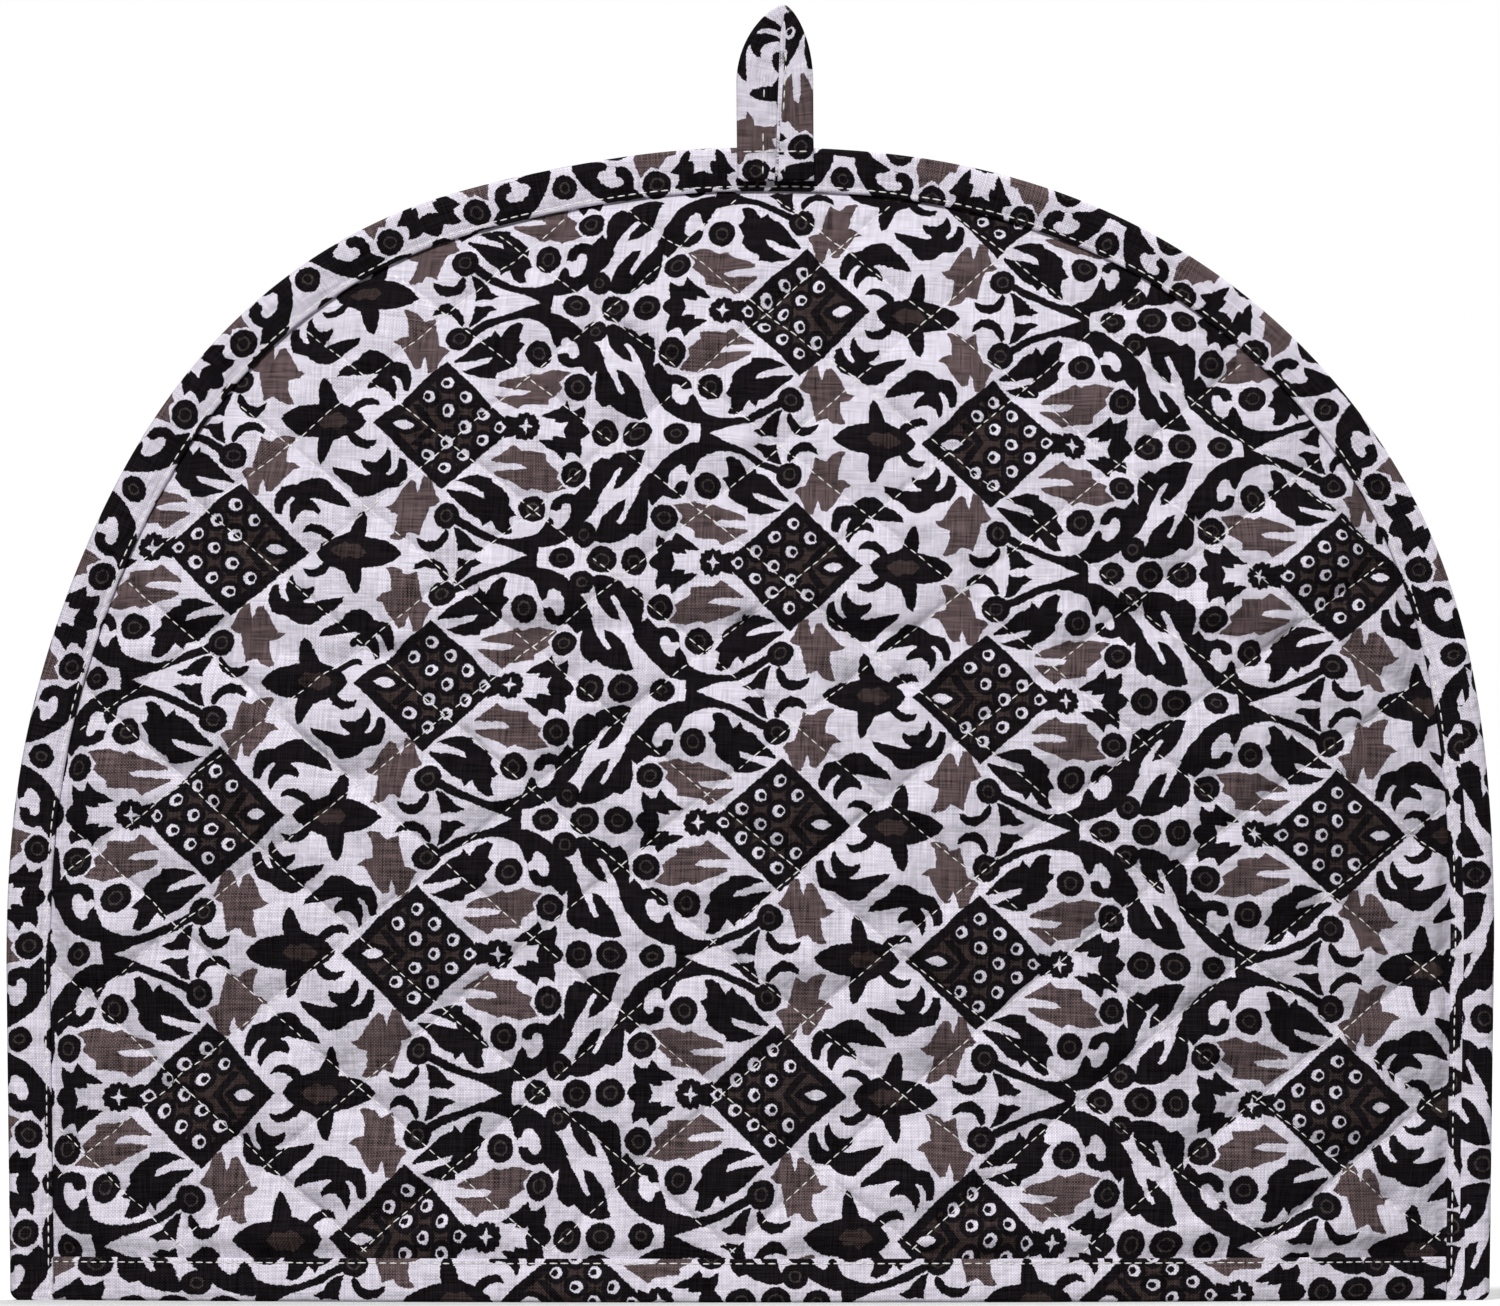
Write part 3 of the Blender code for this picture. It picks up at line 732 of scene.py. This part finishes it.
def loop_edges():
    """Matching points of the loop's outer and inner edges, from the left foot to the right."""
    rise = LOOP_TIP.y - LOOP_SHOULDER
    straight = LOOP_SHOULDER - LOOP_FOOT
    share = np.linspace(0, 1, LOOP_ROWS) * (straight + rise * 1.3)
    angle = np.pi / 2 * np.clip((share - straight) / (rise * 1.3), 0, 1)
    z = LOOP_FOOT + np.minimum(share, straight) + rise * np.sin(angle)
    up = (z - LOOP_FOOT) / (LOOP_TIP.y - LOOP_FOOT)
    slit_z = LOOP_FOOT + up * (LOOP_TIP.y - LOOP_PEAK - LOOP_FOOT)
    middle, half = loop_slit(up)
    sides = []
    for edge, way in ((LOOP_LEFT, -1), (LOOP_RIGHT, 1)):
        x = LOOP_TIP.x + (edge - LOOP_TIP.x) * np.cos(angle) ** LOOP_POINTED
        sides.append(stacked(x, z, middle + way * half, slit_z))
    both = np.concatenate((sides[0], sides[1][-2::-1]))
    return both[:, :2], both[:, 2:]


def on_loop(z):
    """y of the loop's middle at a height."""
    on_binding = seam_offset(DOME_TOP) + PRESSED_HALF + 2 * APART + BINDING_WALL + LOOP_HALF
    return LOOP_LEAN * smooth((z - DOME_TOP) / (LOOP_TIP.y - DOME_TOP)) - on_binding


def build_loop(materials):
    """A flattened tube. Each row goes round it from its back, where the cloth's edges meet."""
    outer, inner = loop_edges()
    turn = np.pi * np.linspace(-0.49, 1.49, LOOP_COLUMNS)
    share = (1 - np.cos(turn)) / 2
    thick = np.sign(np.sin(turn)) * np.abs(np.sin(turn)) ** 0.5 * (LOOP_HALF - CLOTH / 2)
    face = outer[:, None] * (1 - share)[:, None] + inner[:, None] * share[:, None]
    y = on_loop(face[:, :, 1]) - thick
    points = stacked(face[:, :, 0], y, face[:, :, 1])
    across = lengths(points, 1)
    edge = int(np.argmin(np.abs(turn)))
    along = lengths((outer + inner) / 2)
    printed = LOOP_PRINT[1] + (LOOP_PRINT[0] - LOOP_PRINT[1]) * along[:, None] / along[-1]
    places = stacked(printed, LOOP_PRINT_UP - across + across[:, [edge]])
    return strip("hanging_loop_cloth", points, places, materials)


def build_loop_fold(materials):
    """The narrow fold of cloth that shows between the loop's legs."""
    up = np.linspace(0.03, 0.985, LOOP_ROWS)
    middle, half = loop_slit(up)
    z = (LOOP_FOOT + up * (LOOP_TIP.y - LOOP_PEAK - LOOP_FOOT))[:, None]
    side = np.linspace(-1, 1, 9)
    x = middle[:, None] + (half[:, None] + LOOP_FOLD_HIDDEN) * side
    y = on_loop(z) - LOOP_FOLD_CROWN * (1 - side**2)
    points, places = stacked(x, y, z), stacked(z, x)
    return strip("hanging_loop_fold", points, places, materials)


def loop_runs():
    """Stitched lines on the loop: two by the slit on each leg, and a bar across the feet."""
    runs = []
    for seam in LOOP_SEAMS:
        x_foot, x_top, low, high = (value * MM for value in seam)
        x, z = (np.linspace(a, b, LOOP_SEAM_POINTS) for a, b in ((x_foot, x_top), (low, high)))
        runs.append((stacked(x, on_loop(z) - LOOP_HALF, z), stacked(0.0, -1.0, 0.0 * z)))
    return runs


def quilting_runs(side, face):
    """Stitched lines on one face of a panel."""
    runs = []
    for across, along in ((CELLS_DOWN, CELLS_UP), (CELLS_UP, CELLS_DOWN)):
        steps = np.arange(along[0], along[1], QUILTING_STEP)
        for line in range(across[0], across[1] + 1):
            cells = (np.full_like(steps, line), steps)
            down, up = cells if across is CELLS_DOWN else cells[::-1]
            x, z = quilt_place(down, up)
            kept = (seam_share(x, z) < SEWN_SHARE) & (z > HEM_HEIGHT + MM)
            if kept.sum() < 4:
                continue
            x, z, down, up = x[kept], z[kept], down[kept], up[kept]
            points = panel_points(x, z, down, up, face) * (1, -side, 1)
            runs.append((points, panel_normal(x, z) * (face, -side * face, face)))
    return runs


def read_off(at, along, values):
    return stacked(*(np.interp(at, along, column) for column in values.T))


def stitch_shape():
    """One stitch along X, a unit long and thick, with its ends dipping into the cloth."""
    bm = bmesh.new()
    bmesh.ops.create_uvsphere(bm, u_segments=5, v_segments=4, radius=0.5)
    bmesh.ops.triangulate(bm, faces=bm.faces[:])
    points = coordinates(bm)[:, [2, 1, 0]] * (1, -1, 1)
    points[:, 0] = 0.5 * np.sign(points[:, 0]) * np.abs(2 * points[:, 0]) ** 0.7
    points[:, 2] -= 5 * np.abs(points[:, 0]) ** 4
    faces = np.array([[vertex.index for vertex in face.verts] for face in bm.faces])
    bm.free()
    return points, faces


def sew(name, runs, material):
    """Stitches along runs of points and directions, joined in one piece."""
    shape, shape_faces = stitch_shape()
    vertices = []
    for number, (points, normals) in enumerate(runs):
        points = settled(points)
        along = lengths(points)
        count = int(along[-1] / STITCH_PITCH)
        if not count:
            continue
        middle = (np.arange(count) + 0.5) * along[-1] / count
        uneven = np.array([noise.noise(Vector((k * 0.73, number * 1.9, 0.4))) for k in range(count)])
        length = STITCH_LENGTH * (1 + 0.22 * uneven)
        start, end = (read_off(middle + way * length / 2, along, points) for way in (-1, 1))
        place, normal = (read_off(middle, along, values) for values in (points, normals))
        sideways = unit(np.cross(normal, end - start))
        place = place + normal * THREAD_PROUD + sideways * (uneven * 0.5 * THREAD_HALF)[:, None]
        placed = place[:, None] + shape[None, :, :1] * (end - start)[:, None]
        placed = placed + shape[None, :, 1:2] * 2 * THREAD_HALF * sideways[:, None]
        vertices.append(placed + shape[None, :, 2:] * 2 * THREAD_HALF * normal[:, None])
    vertices = np.concatenate(vertices)
    faces = shape_faces[None] + (np.arange(len(vertices)) * len(shape))[:, None, None]
    mesh = bpy.data.meshes.new(name)
    mesh.from_pydata(vertices.reshape(-1, 3).tolist(), [], faces.reshape(-1, 3).tolist())
    mesh.shade_smooth()
    mesh.materials.append(material)
    belongs(placed_object(name, mesh))


def add_camera():
    data = bpy.data.cameras.new("camera")
    data.sensor_width = SENSOR
    data.lens = SENSOR * CAMERA_AWAY / VIEW_WIDTH
    data.clip_end = 100.0
    camera = placed_object("camera", data)
    camera.location = (0.0, -CAMERA_AWAY, VIEW_HEIGHT)
    camera.rotation_euler = (math.pi / 2, 0.0, 0.0)
    bpy.context.scene.camera = camera


def put_node(kind, inputs, tree=None, **settings):
    """A node in the tree given, or else in that of the first input that is a socket."""
    linked = {key: value for key, value in inputs.items() if isinstance(value, bpy.types.NodeSocket)}
    tree = tree or next(iter(linked.values())).id_data
    made = tree.nodes.new("ShaderNode" + kind)
    for name, value in settings.items():
        setattr(made, name, value)
    for key, value in inputs.items():
        if key in linked:
            tree.links.new(value, made.inputs[key])
        else:
            made.inputs[key].default_value = value
    return made


def maths(operation, *values, clamp=False):
    inputs = dict(enumerate(values))
    return put_node("Math", inputs, operation=operation, use_clamp=clamp).outputs[0]


plus = partial(maths, "ADD")
minus = partial(maths, "SUBTRACT")
times = partial(maths, "MULTIPLY")
divided = partial(maths, "DIVIDE")
# The first two multiplied, and the third added.
scaled = partial(maths, "MULTIPLY_ADD")
unsigned = partial(maths, "ABSOLUTE")


def most(*values):
    return reduce(partial(maths, "MAXIMUM"), values)


def least(*values):
    return reduce(partial(maths, "MINIMUM"), values)


def vectors(operation, *values, **scale):
    """A vector reckoned from others, or a number from an operation that measures."""
    made = put_node("VectorMath", dict(enumerate(values)) | scale, operation=operation)
    return made.outputs["Value" if operation in ("LENGTH", "DISTANCE") else "Vector"]


def parts_of(place):
    return put_node("SeparateXYZ", {0: place}).outputs[:2]


def joined(u, v):
    return put_node("CombineXYZ", {0: u, 1: v}).outputs[0]


def roughness(place, scale, detail, dimensions="2D"):
    """The outputs of a noise: its height and its colour."""
    inputs = {"Vector": place, "Scale": scale, "Detail": detail}
    return put_node("TexNoise", inputs, noise_dimensions=dimensions).outputs


def mixed(share, *colours):
    """A colour between two. A mix node's inputs 6 and 7 and output 2 are for colours."""
    first, second = ((*colour, 1.0) if isinstance(colour, tuple) else colour for colour in colours)
    return put_node("Mix", {0: share, 6: first, 7: second}, data_type="RGBA").outputs[2]


def give(node, **values):
    for label, value in values.items():
        value.id_data.links.new(value, node.inputs[label])


def new_group(name, outputs, *inputs):
    """A node group with vectors as inputs: the group, its inputs and its output node."""
    tree = bpy.data.node_groups.new(name, "ShaderNodeTree")
    for label in inputs:
        tree.interface.new_socket(label, in_out="INPUT", socket_type="NodeSocketVector")
    for label, kind in outputs.items():
        tree.interface.new_socket(label, in_out="OUTPUT", socket_type="NodeSocket" + kind)
    return tree, tree.nodes.new("NodeGroupInput").outputs, tree.nodes.new("NodeGroupOutput")


def round_group():
    """Distance from a centre, and the turn round it from 0 to 1."""
    outputs = {"Distance": "Float", "Turn": "Float"}
    tree, given, made = new_group("round a centre", outputs, "Place", "Centre")
    from_centre = vectors("SUBTRACT", given[0], given[1])
    length = vectors("LENGTH", from_centre)
    u, v = parts_of(from_centre)
    angle = maths("ARCTAN2", v, u)
    give(made, Distance=length, Turn=scaled(angle, 0.5 / math.pi, 0.5))
    return tree


def curve_of(value, points):
    """A value read off straight lines through points, all from 0 to 1."""
    made = put_node("FloatCurve", {"Value": value})
    curve = made.mapping.curves[0]
    curve.points[0].location = points[0]
    curve.points[-1].location = points[-1]
    for point in points[1:-1]:
        curve.points.new(*point)
    for point in curve.points:
        point.handle_type = "VECTOR"
    made.mapping.update()
    return made.outputs[0]


def reach_points(centre, outline):
    """(turn, reach) round an outline, from 0 to 1 and in shares of REACH."""
    corners = [corner - centre for corner in outline]
    turns = {round(k / RAYS, 4) for k in range(RAYS + 1)}
    turns |= {round(cmath.phase(corner) / (2 * math.pi) + 0.5, 4) for corner in corners}
    found = []
    for turn in sorted(turns):
        way = cmath.rect(1.0, 2 * math.pi * (turn - 0.5))
        seen = [corner / way for corner in corners]
        reach = 0.0
        for a, b in zip(seen, seen[1:] + seen[:1]):
            if a.imag * b.imag <= 0 and a.imag != b.imag:
                reach = max(reach, a.real + (b.real - a.real) * a.imag / (a.imag - b.imag))
        found.append((turn, reach / REACH))
    return found


def shape_depth(around, place, centre, *outline):
    """How far inside a shape a place is, in mm: below 0 outside it."""
    inputs = {"Place": place, "Centre": (centre.real, centre.imag, 0.0)}
    distance, turn = put_node("Group", inputs, node_tree=around).outputs
    reach = curve_of(turn, reach_points(centre, outline))
    return scaled(reach, REACH, times(distance, -1.0))


def all_shapes():
    """Every shape of the chart, with those met again past a turn."""
    shapes = list(SHAPES.values())
    for names, middle in ((TURNED_AT_LEFT, REPEAT_LEFT), (TURNED_AT_RIGHT, REPEAT_LEFT + REPEAT_HALF[0])):
        ends = complex(2 * middle, REPEAT_HALF[1])
        for ink, *places in (SHAPES[name] for name in names):
            shapes.append((ink, *(ends - place for place in places)))
    reach, depth, scallops = ROSETTE_SCALLOPS
    angles = [k * math.pi / 24 for k in range(48)]
    ring = [ROSETTE + cmath.rect(reach + depth * abs(math.cos(scallops * angle)), angle) for angle in angles]
    star = [ROSETTE + cmath.rect(reach, k * math.pi / 4) for k, reach in enumerate(ROSETTE_STAR * 2)]
    neck = [ROSETTE + corner for corner in ROSETTE_NECK]
    middle = complex(ROSETTE)
    shapes += [("black", middle, *ring), ("black", middle + ROSETTE_NECK_MIDDLE, *neck)]
    return shapes + [("light", middle, *star)]


def in_repeat(place):
    """Place folded into the charted half, as u and v, and the half it was in, 0 or 1."""
    x, y = parts_of(place)
    across = minus(x, REPEAT_LEFT)
    column = maths("FLOOR", divided(across, REPEAT_HALF[0]))
    half = maths("FLOORED_MODULO", column, 2.0)
    u = plus(maths("PINGPONG", across, REPEAT_HALF[0]), REPEAT_LEFT)
    row = maths("PINGPONG", y, REPEAT_HALF[1])
    flip = scaled(row, -2.0, REPEAT_HALF[1])
    return u, scaled(half, flip, row), half


def dots_depth(place, half):
    """Inside the dots. The odd one is in the second half only."""
    found = []
    for (u, v), radius in (*DOTS, ODD_DOT):
        depth = minus(radius, vectors("DISTANCE", place, (u, v, 0.0)))
        if (u, v) == ODD_DOT[0]:
            depth = scaled(minus(half, 1.0), REACH, depth)
        found.append(depth)
    return most(*found)


def stem_depth(u, v):
    low, high = STEM
    share = divided(minus(u, low), high - low)
    edges = []
    for points in (STEM_TOP, STEM_LOW):
        drawn = [((point.real - low) / (high - low), (point.imag - REACH) / REACH) for point in points]
        edges.append(scaled(curve_of(share, drawn), REACH, REACH))
    ends = least(minus(u, low), minus(high, u))
    return least(minus(v, edges[0]), minus(edges[1], v), ends)


def lens_depth(u, v, middle, half_length, half_height):
    """Inside a lens on the diamond's long axis."""
    across = divided(minus(u, middle), half_length)
    bow = minus(1.0, times(across, across))
    return scaled(bow, half_height, times(v, -1.0))


def diamond_depths(u, v):
    """Depths inside the diamond, its black drawing and its light drawing."""
    wide, tall = DIAMOND
    share = plus(divided(unsigned(u), wide), divided(v, tall))
    whole = times(minus(1.0, share), wide * tall / math.hypot(wide, tall))
    across = divided(plus(u, EYELET_START), EYELET_STEP[0])
    up = divided(v, EYELET_STEP[1])
    first = maths("ROUND", plus(across, up))
    second = maths("ROUND", minus(across, up))
    both = plus(first, second)
    apart = minus(first, second)
    from_u = plus(scaled(both, -EYELET_STEP[0] / 2, EYELET_START), u)
    from_v = scaled(apart, -EYELET_STEP[1] / 2, v)
    distance = vectors("LENGTH", joined(from_u, from_v))
    from_pupil = vectors("LENGTH", joined(minus(from_u, PUPIL_OFF), from_v))
    kept = least(minus(EYELET_ROWS[0], first), minus(EYELET_ROWS[1], second))
    kept = least(times(kept, REACH), minus(whole, 1.0))
    discs = least(minus(EYELET_BLACK, distance), kept)
    ring = minus(EYELET_LIGHT, distance)
    rings = least(ring, minus(from_pupil, EYELET_PUPIL), kept)
    slope, place, half, top = CHEVRON
    slant = scaled(v, slope, minus(u, place))
    chevron = minus(half, unsigned(slant))
    chevron = least(chevron, minus(top, v))
    border = minus(DIAMOND_BORDER, whole)
    black = most(border, discs, chevron, lens_depth(u, v, *BLACK_LENS))
    return whole, black, most(rings, lens_depth(u, v, *LIGHT_LENS))


def inked(depth, spread=0.0):
    """1 inside a shape and 0 outside it, slightly soft at the edge. The ink ran by spread, in mm."""
    return scaled(depth, EDGE_CRISPNESS, 0.5 + EDGE_CRISPNESS * spread, clamp=True)


def print_group():
    """The printed cloth's colour at a flat place in millimetres."""
    tree, given, made = new_group("block print", {"Colour": "Color", "Ink": "Float"}, "Place")
    place = given[0]
    for scale, reach in WOBBLES:
        shift = vectors("SUBTRACT", roughness(given[0], scale, 1.0)["Color"], (0.5, 0.5, 0.5))
        place = vectors("ADD", place, vectors("SCALE", shift, Scale=reach))
    u, v, half = in_repeat(place)
    place = joined(u, v)
    around = round_group()
    depths = {}
    for ink, *shape in all_shapes():
        depths.setdefault(ink, []).append(shape_depth(around, place, *shape))
    depths = {ink: most(*found) for ink, found in depths.items()}
    for ink in ("black", "brown"):
        depths[ink] = least(depths[ink], times(depths[ink + " cut"], -1.0))
    whole, drawn, light = diamond_depths(u, v)
    dots = dots_depth(place, half)
    black = most(depths["black"], stem_depth(u, v), dots, whole)
    inside = least(whole, times(drawn, -1.0))
    light = most(least(light, whole), depths["light"])
    rings = minus(DOT_RING_HALF, unsigned(minus(dots, DOT_RING)))
    colour = mixed(inked(depths["brown"], INK_SPREAD), GROUND, BROWN_INK)
    colour = mixed(inked(black, INK_SPREAD), colour, BLACK_INK)
    colour = mixed(inked(most(inside, depths["dark brown"])), colour, DARK_BROWN_INK)
    colour = mixed(inked(rings), colour, RING_INK)
    colour = mixed(inked(light), colour, GROUND)
    ink = minus(inked(most(black, depths["brown"])), inked(light), clamp=True)
    give(made, Colour=colour, Ink=ink)
    return tree


def weave_group():
    """A plain weave at a flat place in millimetres: its height, and its shade, which is painted shade from
    that height (raised threads light, gaps dark) with the threads' uneven tone.
    """
    tree, given, made = new_group("plain weave", {"Height": "Float", "Shade": "Float"}, "Place")
    waves = [maths("SINE", times(way, math.pi / WEAVE_PITCH)) for way in parts_of(given[0])]
    crossing = times(*waves)
    ridges = plus(*[unsigned(wave) for wave in waves])
    height = scaled(crossing, 0.3, times(ridges, 0.35))
    threads = [roughness(vectors("MULTIPLY", given[0], stretch), 1.0, 1.5)[0] for stretch in FLECKS]
    uneven = plus(*threads)
    # Shade: painted shade from the weave's height (raised threads lighter, gaps darker), plus the threads'
    # uneven tone.
    give(made, Height=height, Shade=scaled(minus(uneven, 1.0), 0.9, height))
    return tree


def printed_cloth(name, block_print, weave, strength):
    """Printed cotton, of which the reverse shows the print with less strength."""
    material = plain(name, GROUND, 0.92)
    tree = material.node_tree
    shader = tree.nodes["Principled BSDF"]
    shader.inputs["Specular IOR Level"].default_value = 0.03
    flat = put_node("UVMap", {}, tree, uv_map="print").outputs[0]
    place = vectors("SCALE", flat, Scale=1 / MM)
    (printed, ink), (height, shade) = (
        put_node("Group", {"Place": place}, node_tree=group).outputs
        for group in (block_print, weave)
    )
    colour = mixed(strength, GROUND, printed)
    # Painted shade: the colour is lightened on raised threads and darkened in the weave's gaps, with the
    # threads' uneven flecks mixed in.
    contrast = scaled(ink, INK_SHADE_AND_FLECKS, WEAVE_SHADE_AND_FLECKS)
    shade_and_flecks = scaled(minus(shade, 0.5), contrast, 1.0)
    tree.links.new(vectors("SCALE", colour, Scale=shade_and_flecks), shader.inputs["Base Color"])
    creased = roughness(place, CREASE_SCALE, 3.0)[0]
    bumps = {"Strength": 1.0, "Distance": CREASES, "Height": creased}
    bumps = {"Normal": put_node("Bump", bumps).outputs[0]}
    bumps |= {"Strength": 0.7, "Distance": WEAVE_BUMP, "Height": height}
    tree.links.new(put_node("Bump", bumps).outputs[0], shader.inputs["Normal"])
    return material


def twisted_thread():
    """Cream sewing thread, with the light and dark of its twisted strands."""
    material = plain("cream_thread", THREAD_COLOUR, 0.6)
    tree = material.node_tree
    place = put_node("TexCoord", {}, tree).outputs["Object"]
    shade = scaled(roughness(place, STRAND_SCALE, 2.0, "3D")[0], 0.7, 0.62)
    colour = vectors("SCALE", THREAD_COLOUR, Scale=shade)
    tree.links.new(colour, tree.nodes["Principled BSDF"].inputs["Base Color"])
    return material


def plain(name, colour, roughness=0.85):
    material = bpy.data.materials.new(name)
    material.use_nodes = True
    shader = material.node_tree.nodes["Principled BSDF"]
    shader.inputs["Base Color"].default_value = (*colour, 1.0)
    shader.inputs["Roughness"].default_value = roughness
    return material


def add_light(name, way, power, softness):
    """A far light shining one way, with a softness in degrees."""
    data = bpy.data.lights.new(name, "SUN")
    data.energy = power
    data.angle = math.radians(softness)
    light = placed_object(name, data)
    light.rotation_euler = Vector(way).to_track_quat("-Z", "Y").to_euler()


def add_stage():
    bm = bmesh.new()
    bmesh.ops.create_grid(bm, x_segments=1, y_segments=1, size=FLOOR_HALF)
    floor = mesh_object("floor", bm, [plain("pale_floor", (0.9, 0.9, 0.9))])
    floor.visible_diffuse = False
    world = bpy.data.worlds.new("studio")
    world.use_nodes = True
    tree = world.node_tree
    shown = put_node("LightPath", {}, tree).outputs["Is Camera Ray"]
    strength = scaled(shown, 1.0 - SKY_LIGHT, SKY_LIGHT)
    tree.nodes["Background"].inputs["Color"].default_value = (1.0, 1.0, 1.0, 1.0)
    tree.links.new(strength, tree.nodes["Background"].inputs["Strength"])
    bpy.context.scene.world = world
    bpy.context.scene.view_settings.view_transform = "Standard"
    add_light("key", *KEY)
    add_light("back_light", *BACK_LIGHT)


def belongs(piece):
    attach(piece, "root")


def stands_for(piece, node):
    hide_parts(node)
    belongs(piece)


def main():
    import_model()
    add_camera()
    add_stage()
    block_print = print_group()
    weave = weave_group()
    printed = printed_cloth("printed_cotton", block_print, weave, 1.0)
    reverse = printed_cloth("reverse_of_cotton", block_print, weave, SHOW_THROUGH)
    thread = twisted_thread()
    for name, side in (("front", -1), ("back", 1)):
        panel = build_panel(name + "_quilted_cloth", side, [printed, reverse])
        stands_for(panel, name + "_panel")
        for where, face in (("outside", 1), ("inside", -1)):
            sew(f"{name}_quilting_{where}", quilting_runs(side, face), thread)
        hem, runs = build_hem_binding(name + "_hem_binding_cloth", side, [printed, printed])
        stands_for(hem, name + "_hem_binding")
        sew(name + "_hem_stitching", runs, thread)
    binding, runs = build_edge_binding([printed, printed])
    stands_for(binding, "edge_binding")
    sew("edge_binding_stitching", runs, thread)
    loop = build_loop([printed, printed])
    stands_for(loop, "hanging_loop")
    fold = build_loop_fold([reverse, reverse])
    belongs(fold)
    sew("loop_stitching", loop_runs(), thread)


main()
